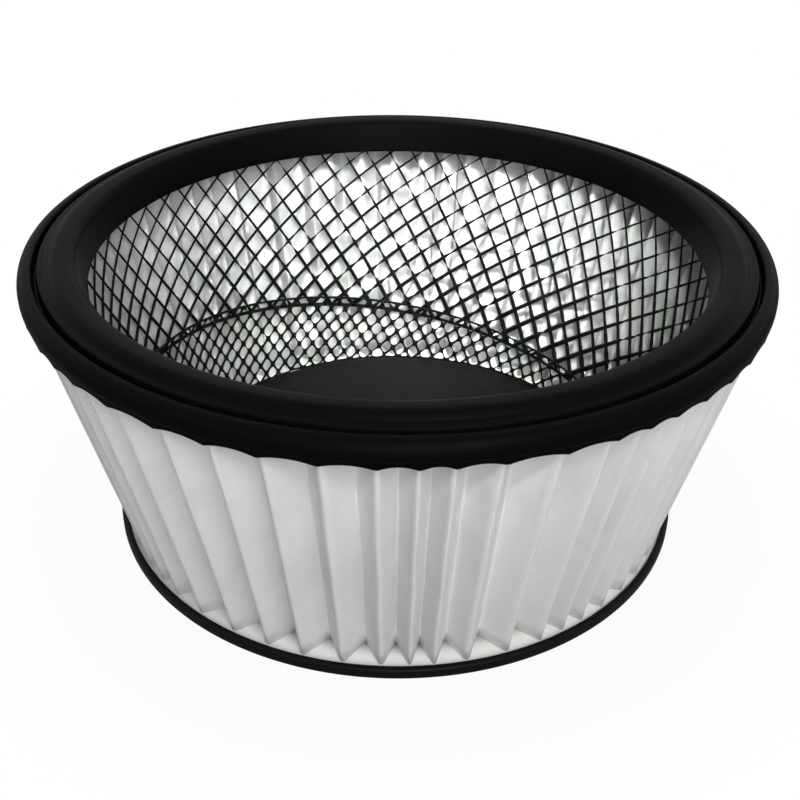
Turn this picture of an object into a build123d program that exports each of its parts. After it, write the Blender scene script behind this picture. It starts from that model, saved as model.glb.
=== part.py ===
from build123d import *
import math
import os

# Conical pleated cartridge filter for a drum vacuum cleaner, standing on its closed narrow end.
# Millimetres. The filter's axis is +Z and its base plane is Z = 0.
# Angles round the axis are in degrees, from the front (-Y) towards +X.

# Pleated media. Radii and widths of the pack are those at its base, where it stands on the resin.
pleat_count = 56
base_crest_radius = 145.0      # outer folds at the base
crest_flare = 31.8             # how much further out the same folds are at the ring
pleat_depth = 13.5             # outer fold to inner fold
media_height = 137.3
media_thickness = 1.2          # measured along the radius
fold_flat = 2.3                # width of a folded edge on its outside; its inside is sharp

# The pitch is uneven, as in a pack gathered by hand: a few slow waves push the folds about.
pitch_offset = -5.64           # angle of the first fold
pitch_waves = ((3, 2.12, 90.0), (8, 1.23, 152.0), (13, 0.82, 56.0))    # waves round, swing, phase

# Black square-mesh netting inside the pleats, in two lengths that lap. Its strands are two sets
# of spirals: the steep ones turn one way as they rise and the slack ones the other way.
steep_strands = 16
steep_lean = 28.5              # from the upright, degrees
slack_strands = 12
slack_lean = 53.5
net_facets = 24                # flat sides of the thin wall the gaps are cut in
net_thickness = 1.0
net_strand = 4.2
net_hem = 3.2                  # solid edge of each length
net_clearance = 0.2            # between the netting and what it lies against
lap_height = 41.0              # upper edge of the lower length, on the axis
lap_tilt = 9.0                 # that edge slants down towards +X, degrees
lap_overlap = 6.0

# Moulded end cap and the resin that holds the pack in it
rim_gap = 1.3                  # outer folds to the inside of the rim
rim_width = 3.2
rim_height = 5.5
cap_floor = 1.8                # floor of the resin channel
resin_depth = 2.4
resin_margin = 0.6             # strip of resin that shows inside the netting

# Sealing ring moulded on the wide end
ring_height = 12.0             # underside of the ring, on the pleats, to the crown of the bead
collar_depth = 5.5             # inner part that hangs below the underside, inside the netting
collar_width = 5.4
inner_draft = 4.2              # taper of the inner wall
shoulder_run = 4.2             # sloped shoulder between the inner wall and the flat crown
shoulder_drop = 1.3
skirt_gap = 0.3                # outer folds to the inside of the skirt
skirt_thickness = 2.2
skirt_depth = 4.2
skirt_step = 0.7               # flange stands this far outside the skirt
scallop_rise = 3.0             # arch of the skirt's edge between two folds
scallop_foot = 2.4             # plain width left at each fold
scallop_flat = 0.4             # flat top of the arch, as a share of its width
flange_drop = 7.5              # crown to the top of the straight outer wall
lip_width = 6.8
lip_slope = 2.6                # run of the lip's rounded-off outer edge
lip_drop = 3.4                 # crown to the top of the outer lip
groove_width = 2.8
groove_depth = 5.2
shelf_width = 3.6              # step between the bead and the groove
shelf_drop = 3.2
bead_slope = 3.4               # run of the bead's outer side

# Heights that follow
resin_top = cap_floor + resin_depth
ring_floor = resin_top + media_height
crown = ring_floor + ring_height
past_end = 2.0                 # cutting tools run this far past the solids they cut
past_all = 6 * base_crest_radius    # side of a block that reaches past the whole filter


def spread(height):
    """The pack runs to one apex on the axis, so all its radii grow alike with height."""
    return 1 + crest_flare / base_crest_radius * (height - resin_top) / media_height


def turned(angle, radius):
    """A point in plan at an angle from the front and a radius from the axis."""
    a = math.radians(angle)
    return Vector(radius * math.sin(a), -radius * math.cos(a))


def tapered_solid(corners, low, high):
    """Closed solid on a plan outline given at the base, with flat sides that run to the apex."""
    rings = [
        [(p.X * spread(height), p.Y * spread(height), height) for p in corners]
        for height in (low, high)
    ]
    faces = [Face(Wire.make_polygon(ring)) for ring in rings]
    for a in range(len(corners)):
        b = (a + 1) % len(corners)
        faces.append(Face(Wire.make_polygon([rings[0][a], rings[0][b], rings[1][b], rings[1][a]])))
    return Solid(Shell(faces))


def fold_angle(index):
    """Angle of an outer fold: an even pitch with slow waves on it."""
    turn = 2 * math.pi * index / pleat_count
    swing = sum(
        size * math.sin(count * turn + math.radians(phase)) for count, size, phase in pitch_waves
    )
    return pitch_offset + 360 * index / pleat_count + swing


def fold_corners(inward, crest_width, valley_width):
    """Corners of the pleats in plan, a distance in from the outer face; no width gives one corner."""
    crest_radius = base_crest_radius - inward
    valley_radius = crest_radius - pleat_depth
    corners = []
    for index in range(pleat_count):
        crest = fold_angle(index)
        valley = (crest + fold_angle(index + 1)) / 2
        for angle, radius, width in (
            (crest, crest_radius, crest_width),
            (valley, valley_radius, valley_width),
        ):
            half = math.degrees(width / 2 / radius)
            corners.append(turned(angle - half, radius))
            if width > 0:
                corners.append(turned(angle + half, radius))
    return corners


def pleated_media():
    outer_face = fold_corners(0, fold_flat, 0)
    inner_face = fold_corners(media_thickness, 0, fold_flat)
    outside = tapered_solid(outer_face, resin_top, ring_floor)
    return outside - tapered_solid(inner_face, resin_top - past_end, ring_floor + past_end)


def net_radius(lap):
    """Outer radius of the netting at the base: lap 0 lies on the pleats, lap 1 inside lap 0."""
    inner_folds = base_crest_radius - pleat_depth - media_thickness
    return inner_folds - net_clearance - lap * (net_thickness + net_clearance)


def net_tube(low, high, lap):
    """Thin cone of flat facets."""
    tools = []
    for radius, past in ((net_radius(lap), 0), (net_radius(lap) - net_thickness, past_end)):
        corners = [turned(360 * (i + 0.5) / net_facets, radius) for i in range(net_facets)]
        tools.append(tapered_solid(corners, low - past, high + past))
    return tools[0] - tools[1]


def below_lap(offset):
    """Everything below the slanting plane where the two lengths of netting lap."""
    block = Pos(0, 0, -past_all / 2) * Box(past_all, past_all, past_all)
    return Pos(0, 0, lap_height + offset) * Rot(0, lap_tilt, 0) * block


def net_gaps(low, high, lap):
    """Openings between two heights, one in every cell between two steep and two slack strands."""
    mean_radius = net_radius(lap) * spread((resin_top + ring_floor) / 2)
    steep = math.tan(math.radians(steep_lean))
    slack = math.tan(math.radians(slack_lean))
    lift = 2 * math.pi * mean_radius / (steep + slack)
    # Rise of one cell along a slack strand and along a steep one
    slack_rise = lift / steep_strands
    steep_rise = lift / slack_strands
    slack_open = 1 - net_strand / (slack_rise * (steep + slack) * math.cos(math.radians(steep_lean)))
    steep_open = 1 - net_strand / (steep_rise * (steep + slack) * math.cos(math.radians(slack_lean)))
    across_slack = slack_open * slack_rise / 2
    across_steep = steep_open * steep_rise / 2
    reach = 0.1                # each prism runs this share of the radius to both sides of the wall
    gaps = []
    for i in range(steep_strands):
        last = math.ceil(slack_strands * ((high - resin_top) / lift + (i + 1) / steep_strands))
        for j in range(-1, last):
            height = resin_top + (j + 0.5) * steep_rise - (i + 0.5) * slack_rise
            # A cell that shows only a corner between the two heights stays closed
            if height < low - steep_rise / 2 or height > high + steep_rise / 2:
                continue
            radius = net_radius(lap) * spread(height)
            angle = 360 * (i + 0.5) / steep_strands
            angle += math.degrees(steep * (height - resin_top) / mean_radius)
            corners = []
            for side, end in ((1, 1), (1, -1), (-1, -1), (-1, 1)):
                run = side * slack * across_slack + end * steep * across_steep
                rise = end * across_steep - side * across_slack
                corners.append((run * radius / mean_radius, rise))
            out = turned(angle, 1)
            start = turned(angle, radius * (1 - reach))
            across = Plane((start.X, start.Y, height), x_dir=(-out.Y, out.X, 0), z_dir=(out.X, out.Y, 0))
            gaps.append(extrude(across * make_face(Polyline(corners, close=True)), 2 * reach * radius))
    return Part() + gaps


def upper_net():
    """Netting from the ring down to the lap."""
    tube = net_tube(resin_top, ring_floor, 0) - below_lap(-lap_overlap)
    top_hem = Pos(0, 0, ring_floor) * Box(past_all, past_all, 2 * net_hem)
    gaps = net_gaps(resin_top, ring_floor - net_hem, 0) - top_hem
    return tube - (gaps - below_lap(net_hem - lap_overlap))


def lower_net():
    """Netting from the resin up to the lap, inside the foot of the upper length."""
    tallest = lap_height + base_crest_radius * math.tan(math.radians(lap_tilt))
    tube = net_tube(resin_top, tallest, 1) & below_lap(0)
    foot_hem = Pos(0, 0, resin_top) * Box(past_all, past_all, 2 * net_hem)
    gaps = net_gaps(resin_top + net_hem, tallest, 1) - foot_hem
    return tube - (gaps & below_lap(-net_hem))


def rim_inside():
    return base_crest_radius + rim_gap


def panel_radius():
    """Edge of the centre panel, inside the netting by the strip of resin that shows."""
    return net_radius(1) - net_thickness - resin_margin


def turned_solid(section):
    """Turn a half section, given as points (radius, height), round the axis."""
    return revolve(Plane.XZ * make_face(Polyline(section, close=True)), Axis.Z)


def end_cap():
    """Moulded dish: standing rim, resin channel and a raised centre panel."""
    rim_outside = rim_inside() + rim_width
    return turned_solid([
        (0, 0),
        (rim_outside, 0),
        (rim_outside, rim_height),
        (rim_inside(), rim_height),
        (rim_inside(), cap_floor),
        (panel_radius(), cap_floor),
        (panel_radius(), resin_top),
        (0, resin_top),
    ])


def end_resin():
    """White potting resin that fills the cap's channel, under the feet of the pleats and netting."""
    return turned_solid([
        (panel_radius(), cap_floor),
        (rim_inside(), cap_floor),
        (rim_inside(), resin_top),
        (panel_radius(), resin_top),
    ])


def skirt_inside():
    return base_crest_radius + crest_flare + skirt_gap


def flange_radius():
    return skirt_inside() + skirt_thickness + skirt_step


def ring_body():
    """Ring without its skirt: hanging collar, tapered inner wall, bead, groove, lip and flange."""
    foot = ring_floor - collar_depth
    net_inside = (net_radius(0) - net_thickness) * spread(foot) * math.cos(math.pi / net_facets)
    collar_outer = net_inside - net_clearance
    collar_inner = collar_outer - collar_width
    wall_top = collar_inner + inner_draft
    flange = flange_radius()
    groove_outer = flange - lip_width
    groove_inner = groove_outer - groove_width
    bead_outer = groove_inner - shelf_width
    shelf = crown - shelf_drop
    return turned_solid([
        (collar_inner, foot),
        (wall_top, crown - shoulder_drop),
        (wall_top + shoulder_run, crown),
        (bead_outer - bead_slope, crown),
        (bead_outer, shelf),
        (groove_inner, shelf),
        ((groove_inner + groove_outer) / 2, shelf - groove_depth),
        (groove_outer, crown - lip_drop),
        (flange - lip_slope, crown - lip_drop),
        (flange, crown - flange_drop),
        (flange, ring_floor),
        (collar_outer, ring_floor),
        (collar_outer, foot),
    ])


def skirt():
    """Band round the tops of the pleats, with a corner at every outer fold and arches between."""
    outline = [
        make_face(Polyline([turned(fold_angle(i), radius) for i in range(pleat_count)], close=True))
        for radius in (skirt_inside() + skirt_thickness, skirt_inside())
    ]
    foot = ring_floor - skirt_depth
    band = extrude(Pos(0, 0, foot) * (outline[0] - outline[1]), skirt_depth + past_end)
    arches = []
    for index in range(pleat_count):
        fold = fold_angle(index)
        following = fold_angle(index + 1)
        middle = (fold + following) / 2
        facet = skirt_inside() * math.cos(math.radians(following - fold) / 2)
        width = 2 * skirt_inside() * math.sin(math.radians(following - fold) / 2) - scallop_foot
        out = turned(middle, 1)
        start = turned(middle, facet - past_end)
        across = Plane((start.X, start.Y, foot), x_dir=(-out.Y, out.X, 0), z_dir=(out.X, out.Y, 0))
        arch = make_face(Polyline([
            (-width / 2, -past_end),
            (-width / 2, 0),
            (-width * scallop_flat / 2, scallop_rise),
            (width * scallop_flat / 2, scallop_rise),
            (width / 2, 0),
            (width / 2, -past_end),
        ], close=True))
        arches.append(extrude(across * arch, skirt_thickness + 2 * past_end))
    return band - arches


def sealing_ring():
    return ring_body() + skirt()


pieces = {
    "sealing_ring": sealing_ring(),
    "pleated_media": pleated_media(),
    "upper_net": upper_net(),
    "lower_net": lower_net(),
    "end_cap": end_cap(),
    "end_resin": end_resin(),
}
os.makedirs("parts", exist_ok=True)
for name, piece in pieces.items():
    export_step(piece, os.path.join("parts", name + ".step"))
    print(name, "solids", len(piece.solids()), "volume", round(piece.volume))
print("flange radius", round(flange_radius(), 2), "height", round(crown, 2))
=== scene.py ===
"""Looks of a conical pleated cartridge filter for a drum vacuum cleaner, built round its CAD frame."""

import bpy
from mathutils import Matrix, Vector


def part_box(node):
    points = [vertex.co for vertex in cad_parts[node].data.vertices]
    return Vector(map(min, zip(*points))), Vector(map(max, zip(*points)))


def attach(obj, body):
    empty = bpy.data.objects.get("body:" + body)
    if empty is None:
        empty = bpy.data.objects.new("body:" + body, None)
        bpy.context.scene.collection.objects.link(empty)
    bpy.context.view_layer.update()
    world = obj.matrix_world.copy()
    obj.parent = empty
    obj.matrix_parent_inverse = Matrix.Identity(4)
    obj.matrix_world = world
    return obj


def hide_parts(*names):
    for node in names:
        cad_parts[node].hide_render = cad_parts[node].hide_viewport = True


bl_info = {
    "name": "Pleated cartridge filter",
    "version": (1, 0, 0),
    "blender": (4, 5, 0),
    "location": "View3D > Sidebar > Filter",
    "description": "Builds the felt pleats, netting, sealing ring and end cap of a drum vacuum's filter",
    "category": "Add Mesh",
}

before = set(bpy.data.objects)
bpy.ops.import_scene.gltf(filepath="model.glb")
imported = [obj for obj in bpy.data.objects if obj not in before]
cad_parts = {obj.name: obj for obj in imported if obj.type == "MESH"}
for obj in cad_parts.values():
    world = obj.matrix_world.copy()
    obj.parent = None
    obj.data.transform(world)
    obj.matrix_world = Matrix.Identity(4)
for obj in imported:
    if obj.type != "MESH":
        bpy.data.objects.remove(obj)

import math

import bmesh
import bpy
from bpy.props import FloatProperty, FloatVectorProperty, IntProperty, PointerProperty
from mathutils import Quaternion, Vector, noise

MM = 0.001
# Facets of each rounding, and how finely the felt's flat panels are cut across and along
ROUND_SEGMENTS = 4
PANEL_CUTS = 2
ROW_CUTS = 15
PANEL_LEAST = 4 * MM
# The felt strays from flat over about this distance, and alike in each run
WANDER_SIZE = 28 * MM
WANDER_SEED = 4
# Strands thin quickly just above the lap and then slowly: a power below 1
STRAND_TAPER = 0.6

RING_LOW, RING_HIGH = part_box("sealing_ring")
MEDIA_LOW, MEDIA_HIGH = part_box("pleated_media")
CAP_LOW, CAP_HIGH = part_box("end_cap")
RESIN_LOW, RESIN_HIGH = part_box("end_resin")

# The folds are unevenly pitched: waves round the pack, each with its count, swing and phase in degrees
PITCH_WAVES = ((3, 2.12, 90.0), (8, 1.23, 152.0), (13, 0.82, 56.0))


def linear(hex_colour):
    """An sRGB hex colour as linear RGBA."""
    channels = [int(hex_colour[i:i + 2], 16) / 255 for i in (1, 3, 5)]
    return tuple(c / 12.92 if c <= 0.04045 else ((c + 0.055) / 1.055) ** 2.4 for c in channels) + (1.0,)


def length(name, description, default):
    """A size that a user may change, in metres."""
    return FloatProperty(name=name, description=description, default=default, unit="LENGTH", precision=5)


def degrees(name, description, default):
    """An angle that a user may change, given here in degrees."""
    return FloatProperty(name=name, description=description, default=math.radians(default), subtype="ANGLE")


def portion(name, description, default):
    """A size as a share of another."""
    return FloatProperty(name=name, description=description, default=default, min=0.1, max=1)


def point(name, description, default):
    """A place in metres."""
    return FloatVectorProperty(
        name=name, description=description, default=default, subtype="XYZ", unit="LENGTH"
    )


def colour(name, description, hex_colour):
    """A colour that a user may change, given here as sRGB hex."""
    return FloatVectorProperty(
        name=name, description=description, default=linear(hex_colour), size=4, subtype="COLOR", min=0, max=1
    )


class PleatSettings(bpy.types.PropertyGroup):
    count: IntProperty(name="Pleats", description="Folds round the pack", default=56, min=8)
    crest_radius: length("Crest radius", "Outer folds at the base", 145.0 * MM)
    flare: length("Flare", "How much further out the folds are at the ring", 31.8 * MM)
    depth: length("Depth", "Outer fold to inner fold", 13.5 * MM)
    thickness: length("Felt", "Thickness of the felt", 1.2 * MM)
    low: length("Foot", "Height of the resin that the pleats stand on", MEDIA_LOW.z)
    high: length("Top", "Height of the ring's underside", MEDIA_HIGH.z)
    crest_round: length("Crest rounding", "How far the rounding of an outer fold reaches", 3.8 * MM)
    valley_round: length("Valley rounding", "How far the rounding of an inner fold reaches", 0.9 * MM)
    wander: length("Wander", "How far the felt strays from flat panels", 0.45 * MM)
    softening: IntProperty(
        name="Softening", description="Rounds of smoothing of the folds between their ends", default=4, min=0
    )
    first_fold: degrees("First fold", "Angle of the first fold from the front", -5.64)


class NetSettings(bpy.types.PropertyGroup):
    steep_strands: IntProperty(
        name="Steep strands", description="Strands round that rise steeply, one way round", default=70, min=8
    )
    slack_strands: IntProperty(
        name="Slack strands", description="Strands round that rise gently, the other way", default=53, min=8
    )
    steep_lean: degrees("Steep lean", "Lean of the steep strands from the upright", 28.5)
    slack_lean: degrees("Slack lean", "Lean of the slack strands from the upright", 53.5)
    fineness: FloatProperty(
        name="Fineness", description="Strands round the lower length for each one of the upper", default=1.43,
        min=0.5,
    )
    radius: length("Radius", "Middle of the netting at the base", 128.4 * MM)
    lap_gap: length("Lap gap", "The lower length lies this far inside the upper one", 3.0 * MM)
    strand: length("Strand", "Thickness of the strands just above the lap, the thickest", 3.0 * MM)
    foot_girth: portion("Foot girth", "Strands of the lower length, as a share of the thickest", 0.72)
    hem_girth: portion("Hem girth", "Hems at the lap, as a share of the thickest strands", 0.75)
    top_girth: portion("Top girth", "Strands under the ring, as a share of the thickest", 0.36)
    lap_height: length("Lap height", "Upper edge of the lower length, on the axis", 41.0 * MM)
    lap_overlap: length("Overlap", "How far the two lengths lap", 6.0 * MM)
    lap_tilt: degrees("Lap tilt", "Slant of the lap, down towards +X", 9.0)


class RingSettings(bpy.types.PropertyGroup):
    flange_radius: length("Flange radius", "Outside of the flange", RING_HIGH.x)
    crown: length("Crown", "Height of the bead", RING_HIGH.z)
    foot: length("Foot", "Lowest edge of the collar inside the netting", RING_LOW.z)
    foot_radius: length("Foot radius", "Inside of the collar at its foot", 149.4 * MM)
    collar: length("Collar", "Thickness of the collar", 5.4 * MM)
    skirt_radius: length("Skirt radius", "Inside of the skirt", 177.1 * MM)
    skirt_foot: length("Skirt foot", "Lowest edge of the skirt", MEDIA_HIGH.z - 4.2 * MM)
    scallop: length("Scallop", "Rise of the skirt's edge between two folds", 1.9 * MM)
    steps: IntProperty(name="Steps", description="Segments round the ring", default=672, min=64)


class CapSettings(bpy.types.PropertyGroup):
    radius: length("Radius", "Outside of the rim", CAP_HIGH.x)
    height: length("Height", "Height of the rim", CAP_HIGH.z)
    rim: length("Rim", "Width of the rim", 3.2 * MM)
    floor: length("Floor", "Floor of the resin channel", RESIN_LOW.z)
    panel_radius: length("Panel radius", "Edge of the centre panel", 127.3 * MM)
    panel_height: length("Panel height", "Top of the panel and of the resin", RESIN_HIGH.z)
    steps: IntProperty(name="Steps", description="Segments round the cap", default=256, min=32)


class FinishSettings(bpy.types.PropertyGroup):
    felt: colour("Felt", "White polyester needle felt", "#e1e2e2")
    felt_dull: colour("Felt, dull", "Thin or dusty patches of the felt", "#dbdbd9")
    ring: colour("Ring", "Black soft polyurethane", "#060606")
    net: colour("Netting", "Black extruded polyethylene", "#0a0c0b")
    cap: colour("Cap", "Black moulded plastic", "#0c0c0c")
    resin: colour("Resin", "White potting resin", "#f8f8f5")
    floor: colour("Floor", "White studio floor", "#c4c4c4")


class StageSettings(bpy.types.PropertyGroup):
    camera: point("Camera", "Place of the camera", (0.0, -0.504, 0.3774))
    target: point("Target", "Point that the camera looks at", (0.0017, 0.0, 0.0529))
    lens: FloatProperty(name="Lens", description="Focal length in millimetres", default=50.4)
    roll: FloatProperty(
        name="Roll", description="Turn of the camera about its view", default=0.0127, subtype="ANGLE"
    )


# Shapes


def spread(height):
    """The pack runs to one apex on the axis, so its radii grow alike with height."""
    pleats = bpy.context.scene.filter_pleats
    return 1 + pleats.flare / pleats.crest_radius * (height - pleats.low) / (pleats.high - pleats.low)


def turned(angle, radius, height):
    """A point at an angle from the front (-Y) towards +X."""
    return Vector((radius * math.sin(angle), -radius * math.cos(angle), height))


def fold_angle(index):
    """Angle of an outer fold: an even pitch with slow waves on it."""
    pleats = bpy.context.scene.filter_pleats
    turn = 2 * math.pi * index / pleats.count
    swing = sum(size * math.sin(count * turn + math.radians(phase)) for count, size, phase in PITCH_WAVES)
    return pleats.first_fold + turn + math.radians(swing)


def rises(edge):
    """Whether an edge climbs, and isn't level."""
    return abs(edge.verts[0].co.z - edge.verts[1].co.z) > MM


def spun(bm, steps):
    """Spin everything in a bmesh round the axis and close it."""
    bmesh.ops.spin(
        bm, geom=bm.verts[:] + bm.edges[:], cent=(0, 0, 0), axis=(0, 0, 1), angle=2 * math.pi, steps=steps,
        use_merge=True, use_duplicate=False,
    )
    bmesh.ops.remove_doubles(bm, verts=bm.verts[:], dist=1e-6)
    bmesh.ops.recalc_face_normals(bm, faces=bm.faces[:])


def half_section(bm, corners, closed=True):
    """A half section as a chain of edges. A corner is its radius, its height and its rounding's reach."""
    verts = [bm.verts.new(turned(0, radius, height)) for radius, height, reach in corners]
    for a, b in zip(verts, verts[1:]):
        bm.edges.new((a, b))
    if closed:
        bm.edges.new((verts[-1], verts[0]))
    for vert, (radius, height, reach) in zip(verts, corners):
        if reach > 0:
            bmesh.ops.bevel(
                bm, geom=[vert], offset=reach, offset_type="OFFSET", segments=ROUND_SEGMENTS, profile=0.5,
                affect="VERTICES", material=-1, clamp_overlap=False,
            )


def piece(bm, name, material, node):
    """Make a finished bmesh an object with the given material, in place of a CAD node, which is hidden."""
    mesh = bpy.data.meshes.new(name)
    bm.to_mesh(mesh)
    bm.free()
    mesh.shade_smooth()
    made = bpy.data.objects.new(name, mesh)
    bpy.context.scene.collection.objects.link(made)
    mesh.materials.append(material)
    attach(made, "root")
    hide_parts(node)
    return made


# Materials


def add_node(tree, kind, settings=None, values=None, links=None):
    """Add one node with its settings and input values, and link other nodes' outputs to its inputs."""
    node = tree.nodes.new(kind)
    for key, value in (settings or {}).items():
        setattr(node, key, value)
    for socket, value in (values or {}).items():
        node.inputs[socket].default_value = value
    for socket, output in (links or {}).items():
        tree.links.new(output, node.inputs[socket])
    return node


def blank_material(name):
    """A new material with an empty tree."""
    material = bpy.data.materials.new(name)
    material.use_nodes = True
    material.node_tree.nodes.clear()
    return material, material.node_tree


def felt_material(finish):
    """Polyester needle felt: soft and matt, with a faint cloud of thicker and thinner fibre."""
    material, tree = blank_material("white_needle_felt")
    place = add_node(tree, "ShaderNodeTexCoord").outputs["Object"]
    cloud = add_node(
        tree, "ShaderNodeTexNoise", values={"Scale": 1 / (26 * MM), "Detail": 4.0, "Roughness": 0.55},
        links={"Vector": place},
    )
    ramp = add_node(tree, "ShaderNodeValToRGB", links={"Fac": cloud.outputs["Fac"]})
    ramp.color_ramp.elements[0].position = 0.3
    ramp.color_ramp.elements[0].color = finish.felt_dull
    ramp.color_ramp.elements[1].position = 0.55
    ramp.color_ramp.elements[1].color = finish.felt
    # Real fibres are 0.02 mm thick; they are drawn at 0.9 mm so that they show
    fibre = add_node(
        tree, "ShaderNodeTexNoise", values={"Scale": 1 / (0.9 * MM), "Detail": 3.0}, links={"Vector": place}
    )
    bump = add_node(
        tree, "ShaderNodeBump", values={"Strength": 0.12, "Distance": 0.12 * MM},
        links={"Height": fibre.outputs["Fac"]},
    )
    shader = add_node(
        tree, "ShaderNodeBsdfPrincipled",
        values={
            "Roughness": 0.95, "IOR": 1.45, "Sheen Weight": 0.1, "Sheen Roughness": 0.6,
            "Subsurface Weight": 0.15, "Subsurface Radius": (1, 1, 1), "Subsurface Scale": 3 * MM,
        },
        links={"Base Color": ramp.outputs["Color"], "Normal": bump.outputs["Normal"]},
    )
    add_node(tree, "ShaderNodeOutputMaterial", links={"Surface": shader.outputs["BSDF"]})
    return material


def black_material(name, base, roughness, sheen, grain, depth):
    """Black moulded plastic or rubber: satin, with a fine grain off the mould and a little uneven sheen."""
    material, tree = blank_material(name)
    place = add_node(tree, "ShaderNodeTexCoord").outputs["Object"]
    grit = add_node(
        tree, "ShaderNodeTexNoise", values={"Scale": 1 / grain, "Detail": 3.0}, links={"Vector": place}
    )
    bump = add_node(
        tree, "ShaderNodeBump", values={"Strength": 0.2, "Distance": depth},
        links={"Height": grit.outputs["Fac"]},
    )
    smear = add_node(
        tree, "ShaderNodeTexNoise", values={"Scale": 1 / (30 * MM), "Detail": 4.0}, links={"Vector": place}
    )
    gloss = add_node(
        tree, "ShaderNodeMapRange", values={"To Min": roughness - 0.07, "To Max": roughness + 0.07},
        links={"Value": smear.outputs["Fac"]},
    )
    shader = add_node(
        tree, "ShaderNodeBsdfPrincipled",
        values={"Base Color": base, "IOR": 1.5, "Specular IOR Level": sheen},
        links={"Roughness": gloss.outputs["Result"], "Normal": bump.outputs["Normal"]},
    )
    add_node(tree, "ShaderNodeOutputMaterial", links={"Surface": shader.outputs["BSDF"]})
    return material


def resin_material(finish):
    """White potting resin, poured and set: smooth, with a soft gloss and a slight ripple."""
    material, tree = blank_material("white_potting_resin")
    place = add_node(tree, "ShaderNodeTexCoord").outputs["Object"]
    ripple = add_node(
        tree, "ShaderNodeTexNoise", values={"Scale": 1 / (6 * MM), "Detail": 2.0}, links={"Vector": place}
    )
    bump = add_node(
        tree, "ShaderNodeBump", values={"Strength": 0.3, "Distance": 0.4 * MM},
        links={"Height": ripple.outputs["Fac"]},
    )
    shader = add_node(
        tree, "ShaderNodeBsdfPrincipled", values={"Base Color": finish.resin, "Roughness": 0.55, "IOR": 1.5},
        links={"Normal": bump.outputs["Normal"]},
    )
    add_node(tree, "ShaderNodeOutputMaterial", links={"Surface": shader.outputs["BSDF"]})
    return material


# Pieces


class FILTER_OT_pleats(bpy.types.Operator):
    """Fold the white felt into uneven pleats between the resin and the ring"""

    bl_idname = "cartridge.pleats"
    bl_label = "Felt pleats"

    def execute(self, context):
        pleats = context.scene.filter_pleats
        bm = bmesh.new()
        chain = []
        # Rounding takes a fold's tip back, so each tip starts half the rounding further out or in
        crest_radius = pleats.crest_radius + pleats.crest_round / 2
        valley_radius = pleats.crest_radius - pleats.depth - pleats.valley_round / 2
        for index in range(pleats.count):
            crest = fold_angle(index)
            valley = (crest + fold_angle(index + 1)) / 2
            chain.append(bm.verts.new(turned(crest, crest_radius, pleats.low)))
            chain.append(bm.verts.new(turned(valley, valley_radius, pleats.low)))
        for a, b in zip(chain, chain[1:] + chain[:1]):
            bm.edges.new((a, b))
        crests = set(chain[0::2])
        raised = bmesh.ops.extrude_edge_only(bm, edges=bm.edges[:])["geom"]
        top = [v for v in raised if isinstance(v, bmesh.types.BMVert)]
        grown = spread(pleats.high)
        bmesh.ops.scale(bm, verts=top, vec=(grown, grown, 1))
        bmesh.ops.translate(bm, verts=top, vec=(0, 0, pleats.high - pleats.low))
        uprights = [e for e in bm.edges if rises(e)]
        outer = [e for e in uprights if crests & set(e.verts)]
        inner = [e for e in uprights if not crests & set(e.verts)]
        for edges, reach in ((outer, pleats.crest_round), (inner, pleats.valley_round)):
            bmesh.ops.bevel(
                bm, geom=edges, offset=reach, offset_type="OFFSET", segments=ROUND_SEGMENTS, profile=0.5,
                affect="EDGES", material=-1, clamp_overlap=True,
            )
        panels = [e for e in bm.edges if not rises(e) and e.calc_length() > PANEL_LEAST]
        bmesh.ops.subdivide_edges(bm, edges=panels, cuts=PANEL_CUTS, use_grid_fill=True)
        uprights = [e for e in bm.edges if rises(e)]
        bmesh.ops.subdivide_edges(bm, edges=uprights, cuts=ROW_CUTS, use_grid_fill=True)
        bmesh.ops.recalc_face_normals(bm, faces=bm.faces[:])
        free = [v for v in bm.verts if pleats.low + MM < v.co.z < pleats.high - MM]
        for _ in range(pleats.softening):
            bmesh.ops.smooth_vert(bm, verts=free, factor=0.5, use_axis_x=True, use_axis_y=True)
        noise.seed_set(WANDER_SEED)
        for vert in bm.verts:
            share = (vert.co.z - pleats.low) / (pleats.high - pleats.low)
            held = math.sin(math.pi * share) ** 0.5 if 0 < share < 1 else 0
            stray = noise.noise_vector(vert.co / WANDER_SIZE) * pleats.wander * held
            out = vert.co.normalized()
            side = Vector((-vert.co.y, vert.co.x, 0)).normalized()
            vert.co += side * stray.dot(side) + out * max(0, stray.dot(out)) * 0.3
        material = felt_material(context.scene.filter_finish)
        felt = piece(bm, "felt_pleats", material, "pleated_media")
        wall = felt.modifiers.new("Felt thickness", "SOLIDIFY")
        wall.thickness = pleats.thickness
        wall.offset = -1
        return {"FINISHED"}


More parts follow.
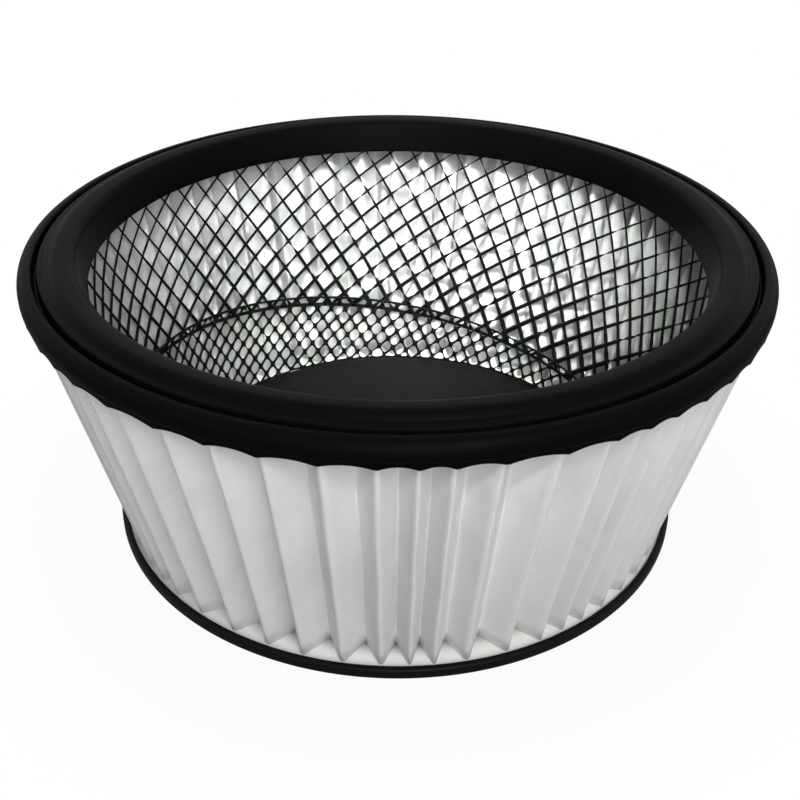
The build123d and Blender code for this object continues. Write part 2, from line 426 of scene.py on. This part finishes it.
class FILTER_OT_netting(bpy.types.Operator):
    """Line the pleats with two lengths of black netting that lap at a slant"""

    bl_idname = "cartridge.netting"
    bl_label = "Netting"

    def rolled_mesh(self, net, fineness, radius, low, high):
        """A flat grid rolled into a cone, so that its two sets of lines become steep and slack spirals."""
        bm = bmesh.new()
        mean_radius = radius * spread((low + high) / 2)
        steep = math.tan(net.steep_lean)
        slack = math.tan(net.slack_lean)
        lift = 2 * math.pi * mean_radius / (steep + slack)
        columns = round(net.steep_strands * fineness)
        slack_rows = round(net.slack_strands * fineness)
        rows = slack_rows + math.ceil(slack_rows * (high - low) / lift) + 1
        bmesh.ops.create_grid(bm, x_segments=columns, y_segments=rows, size=1)
        for vert in bm.verts:
            steep_turn = (vert.co.x + 1) / 2
            slack_turn = (vert.co.y + 1) / 2 * rows / slack_rows
            rise = lift * (slack_turn - steep_turn)
            angle = 2 * math.pi * steep_turn + steep * rise / mean_radius
            vert.co = turned(angle, radius * spread(low + rise), low + rise)
        # The two sides of the grid meet and become one
        bmesh.ops.remove_doubles(bm, verts=bm.verts[:], dist=0.1 * MM)
        for height, keeps_above in ((low, True), (high, False)):
            self.trim(bm, (0, 0, height), (0, 0, 1), keeps_above)
        return bm

    def trim(self, bm, place, normal, keeps_above):
        """Cut the mesh off at a plane."""
        bmesh.ops.bisect_plane(
            bm, geom=bm.verts[:] + bm.edges[:] + bm.faces[:], dist=1e-6, plane_co=place, plane_no=normal,
            clear_inner=keeps_above, clear_outer=not keeps_above,
        )

    def execute(self, context):
        net = context.scene.filter_net
        pleats = context.scene.filter_pleats
        material = black_material(
            "black_extruded_netting", context.scene.filter_finish.net, 0.5, 0.1, 1.5 * MM, 0.05 * MM
        )
        normal = Vector((math.sin(net.lap_tilt), 0, math.cos(net.lap_tilt)))
        inside = net.radius - net.lap_gap
        low = pleats.low + net.strand / 2
        high = pleats.high - net.strand / 2
        upper_edge = net.lap_height - net.lap_overlap
        for name, node, fineness, radius, foot_girth, edge, keeps_above in (
            ("upper_netting", "upper_net", 1.0, net.radius, 1.0, upper_edge, True),
            ("lower_netting", "lower_net", net.fineness, inside, net.foot_girth, net.lap_height, False),
        ):
            bm = self.rolled_mesh(net, fineness, radius, low, high)
            self.trim(bm, (0, 0, edge), normal, keeps_above)
            # Slivers of cells that the cuts leave are closed
            bmesh.ops.remove_doubles(bm, verts=bm.verts[:], dist=1.2 * MM)
            bmesh.ops.subdivide_edges(bm, edges=bm.edges[:], cuts=1)
            bmesh.ops.recalc_face_normals(bm, faces=bm.faces[:])
            made = piece(bm, name, material, node)
            girth = made.vertex_groups.new(name="girth")
            for vert in made.data.vertices:
                share = max(0, (vert.co.z - net.lap_height) / (pleats.high - net.lap_height))
                weight = foot_girth + (net.top_girth - foot_girth) * share ** STRAND_TAPER
                from_hem = abs((vert.co - Vector((0, 0, edge))).dot(normal))
                if from_hem < 0.2 * MM:
                    weight = net.hem_girth
                girth.add([vert.index], weight, "REPLACE")
            strands = made.modifiers.new("Strands", "WIREFRAME")
            strands.thickness = net.strand
            strands.vertex_group = girth.name
            strands.use_even_offset = True
            strands.use_boundary = True
            if not keeps_above:
                rounding = made.modifiers.new("Rounded strands", "SUBSURF")
                rounding.levels = 1
                rounding.render_levels = 1
        return {"FINISHED"}


class FILTER_OT_ring(bpy.types.Operator):
    """Mould the black sealing ring, with its bead, groove, flange and scalloped skirt"""

    bl_idname = "cartridge.ring"
    bl_label = "Sealing ring"

    def execute(self, context):
        ring = context.scene.filter_ring
        pleats = context.scene.filter_pleats
        flange = ring.flange_radius
        crown = ring.crown
        skirt = ring.skirt_radius
        collar = ring.foot_radius + ring.collar
        shelf = crown - 3.2 * MM
        groove = crown - 8.4 * MM
        bm = bmesh.new()
        half_section(bm, [
            # Tapered inner wall and bead
            (ring.foot_radius, ring.foot, 0.8 * MM),
            (ring.foot_radius + 4.2 * MM, crown - 1.0 * MM, 2.4 * MM),
            (flange - 21 * MM, crown, 2.5 * MM),
            (flange - 15.6 * MM, crown, 2.5 * MM),
            # Shelf and groove
            (flange - 13.2 * MM, shelf, 1.0 * MM),
            (flange - 9.6 * MM, shelf, 0.7 * MM),
            (flange - 8.8 * MM, groove, 0.4 * MM),
            (flange - 7.6 * MM, groove, 0.4 * MM),
            # Lip and flange
            (flange - 6.8 * MM, crown - 3.4 * MM, 1.2 * MM),
            (flange - 2.2 * MM, crown - 3.8 * MM, 2.0 * MM),
            (flange, crown - 7.5 * MM, 1.8 * MM),
            (flange, pleats.high + 0.4 * MM, 0.5 * MM),
            # Skirt outside the pleats and collar inside the netting
            (skirt + 2.2 * MM, pleats.high - 0.6 * MM, 0.5 * MM),
            (skirt + 2.2 * MM, ring.skirt_foot, 0.6 * MM),
            (skirt, ring.skirt_foot, 0.6 * MM),
            (skirt, pleats.high, 0),
            (collar, pleats.high, 0),
            (collar, ring.foot, 0.8 * MM),
        ])
        spun(bm, ring.steps)
        folds = [fold_angle(i) for i in range(-1, pleats.count + 2)]
        reach = pleats.high - ring.skirt_foot
        for vert in bm.verts:
            if vert.co.z < pleats.high - MM / 10 and vert.co.xy.length > skirt - MM:
                angle = math.atan2(vert.co.x, -vert.co.y) % (2 * math.pi)
                after = next((i for i, fold in enumerate(folds) if fold > angle), len(folds) - 1)
                share = (angle - folds[after - 1]) / (folds[after] - folds[after - 1])
                arch = 1 - (2 * share - 1) ** 2
                vert.co.z += ring.scallop * arch * (pleats.high - vert.co.z) / reach
        rubber = black_material(
            "black_soft_polyurethane", context.scene.filter_finish.ring, 0.42, 0.025, 1.2 * MM, 0.05 * MM
        )
        piece(bm, "moulded_ring", rubber, "sealing_ring")
        return {"FINISHED"}


class FILTER_OT_cap(bpy.types.Operator):
    """Mould the black end cap, a dish with a standing rim and a channel for the resin"""

    bl_idname = "cartridge.cap"
    bl_label = "End cap"

    def execute(self, context):
        cap = context.scene.filter_cap
        bm = bmesh.new()
        half_section(bm, [
            (0, 0, 0),
            (cap.radius, 0, 1.0 * MM),
            (cap.radius, cap.height, 0.9 * MM),
            (cap.radius - cap.rim, cap.height, 0.6 * MM),
            (cap.radius - cap.rim, cap.floor, 0),
            (cap.panel_radius, cap.floor, 0),
            (cap.panel_radius, cap.panel_height, 0.4 * MM),
            (0, cap.panel_height, 0),
        ], closed=False)
        spun(bm, cap.steps)
        plastic = black_material(
            "black_moulded_cap", context.scene.filter_finish.cap, 0.42, 0.1, 1.2 * MM, 0.04 * MM
        )
        piece(bm, "moulded_cap", plastic, "end_cap")
        return {"FINISHED"}


class FILTER_OT_resin(bpy.types.Operator):
    """Pour the white resin into the cap's channel"""

    bl_idname = "cartridge.resin"
    bl_label = "Potting resin"

    def execute(self, context):
        cap = context.scene.filter_cap
        inside = cap.radius - cap.rim
        bm = bmesh.new()
        half_section(bm, [
            (cap.panel_radius, cap.floor, 0),
            (inside, cap.floor, 0),
            (inside, cap.panel_height, 0),
            (cap.panel_radius, cap.panel_height, 0),
        ])
        spun(bm, cap.steps)
        piece(bm, "poured_resin", resin_material(context.scene.filter_finish), "end_resin")
        return {"FINISHED"}


class FILTER_OT_stage(bpy.types.Operator):
    """Set the pale floor, the soft lights and the camera"""

    bl_idname = "cartridge.stage"
    bl_label = "Stage"

    def soft_lamp(self, name, place, target, size, power, spread_angle=math.pi, mirrored=True):
        data = bpy.data.lights.new(name, "AREA")
        data.shape = "DISK"
        data.size = size
        data.energy = power
        data.spread = spread_angle
        lamp = bpy.data.objects.new(name, data)
        bpy.context.scene.collection.objects.link(lamp)
        lamp.location = place
        lamp.visible_glossy = mirrored
        lamp.rotation_euler = (Vector(target) - Vector(place)).to_track_quat("-Z", "Y").to_euler()

    def execute(self, context):
        stage = context.scene.filter_stage
        finish = context.scene.filter_finish
        scene = context.scene
        scene.view_settings.view_transform = "Standard"

        data = bpy.data.cameras.new("photo_camera")
        data.lens = stage.lens
        data.sensor_width = 36
        data.clip_start = 0.01
        camera = bpy.data.objects.new("photo_camera", data)
        scene.collection.objects.link(camera)
        camera.location = stage.camera
        look = (Vector(stage.target) - Vector(stage.camera)).to_track_quat("-Z", "Y")
        camera.rotation_euler = (look @ Quaternion((0, 0, 1), stage.roll)).to_euler()
        scene.camera = camera

        bm = bmesh.new()
        bmesh.ops.create_circle(bm, cap_ends=True, segments=96, radius=6.0)
        mesh = bpy.data.meshes.new("studio_floor")
        bm.to_mesh(mesh)
        bm.free()
        floor = bpy.data.objects.new("studio_floor", mesh)
        scene.collection.objects.link(floor)
        # White paper: the camera sees it as almost all glow, so that it stays white and the shadow soft
        material, tree = blank_material("white_studio_floor")
        paper = add_node(tree, "ShaderNodeBsdfDiffuse", values={"Color": finish.floor})
        white = add_node(tree, "ShaderNodeEmission", values={"Color": (1, 1, 1, 1), "Strength": 1.0})
        place = add_node(tree, "ShaderNodeTexCoord").outputs["Object"]
        away = add_node(tree, "ShaderNodeVectorMath", {"operation": "LENGTH"}, links={0: place})
        glow = add_node(
            tree, "ShaderNodeMapRange", {"interpolation_type": "SMOOTHSTEP"},
            values={"From Min": 0.15, "From Max": 0.26, "To Min": 0.95, "To Max": 1.0},
            links={"Value": away.outputs["Value"]},
        )
        rays = add_node(tree, "ShaderNodeLightPath")
        share = add_node(
            tree, "ShaderNodeMath", {"operation": "MULTIPLY"},
            links={0: glow.outputs["Result"], 1: rays.outputs["Is Camera Ray"]},
        )
        mix = add_node(
            tree, "ShaderNodeMixShader",
            links={0: share.outputs[0], 1: paper.outputs["BSDF"], 2: white.outputs["Emission"]},
        )
        add_node(tree, "ShaderNodeOutputMaterial", links={"Surface": mix.outputs["Shader"]})
        mesh.materials.append(material)

        world = bpy.data.worlds.new("soft_studio")
        world.use_nodes = True
        scene.world = world
        tree = world.node_tree
        tree.nodes.clear()
        rays = add_node(tree, "ShaderNodeLightPath")
        seen = add_node(
            tree, "ShaderNodeMath", {"operation": "MAXIMUM"},
            links={0: rays.outputs["Is Camera Ray"], 1: rays.outputs["Is Transmission Ray"]},
        )
        seen = add_node(
            tree, "ShaderNodeMath", {"operation": "MAXIMUM"},
            links={0: seen.outputs[0], 1: rays.outputs["Is Glossy Ray"]},
        )
        strength = add_node(
            tree, "ShaderNodeMapRange", values={"To Min": 0.15, "To Max": 1.0},
            links={"Value": seen.outputs[0]},
        )
        sky = add_node(
            tree, "ShaderNodeBackground", values={"Color": (1, 1, 1, 1)},
            links={"Strength": strength.outputs["Result"]},
        )
        add_node(tree, "ShaderNodeOutputWorld", links={"Surface": sky.outputs["Background"]})

        middle = (0, 0, 0.08)
        self.soft_lamp("key_softbox", (0.35, -1.1, 1.0), middle, 0.7, 7.8)
        self.soft_lamp("front_softbox", (0.12, -1.35, 0.42), middle, 0.5, 4.4)
        self.soft_lamp("rear_softbox", (-0.5, 1.2, 0.6), middle, 0.8, 9.0, mirrored=False)
        # A gridded lamp that lights the hollow over the near side of the ring
        self.soft_lamp(
            "hollow_softbox", (-0.05, -0.95, 1.2), (0.01, 0.1, 0.06), 0.2, 0.44, math.radians(9),
            mirrored=False,
        )
        return {"FINISHED"}


class FILTER_PT_panel(bpy.types.Panel):
    bl_idname = "FILTER_PT_panel"
    bl_label = "Pleated cartridge filter"
    bl_space_type = "VIEW_3D"
    bl_region_type = "UI"
    bl_category = "Filter"

    def draw(self, context):
        for operator in BUILD_ORDER:
            self.layout.operator(operator.bl_idname)
        for name, kind in SETTINGS.items():
            box = self.layout.box()
            group = getattr(context.scene, name)
            for key in kind.__annotations__:
                box.prop(group, key)


SETTINGS = {
    "filter_pleats": PleatSettings,
    "filter_net": NetSettings,
    "filter_ring": RingSettings,
    "filter_cap": CapSettings,
    "filter_finish": FinishSettings,
    "filter_stage": StageSettings,
}
BUILD_ORDER = (
    FILTER_OT_stage, FILTER_OT_pleats, FILTER_OT_netting, FILTER_OT_ring, FILTER_OT_cap, FILTER_OT_resin,
)


def register():
    for cls in (*SETTINGS.values(), *BUILD_ORDER, FILTER_PT_panel):
        bpy.utils.register_class(cls)
    for name, kind in SETTINGS.items():
        setattr(bpy.types.Scene, name, PointerProperty(type=kind))


def unregister():
    for name in SETTINGS:
        delattr(bpy.types.Scene, name)
    for cls in reversed((*SETTINGS.values(), *BUILD_ORDER, FILTER_PT_panel)):
        bpy.utils.unregister_class(cls)


def main():
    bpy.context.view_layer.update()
    register()
    bpy.ops.cartridge.stage()
    bpy.ops.cartridge.pleats()
    bpy.ops.cartridge.netting()
    bpy.ops.cartridge.ring()
    bpy.ops.cartridge.cap()
    bpy.ops.cartridge.resin()


if __name__ == "__main__":
    main()
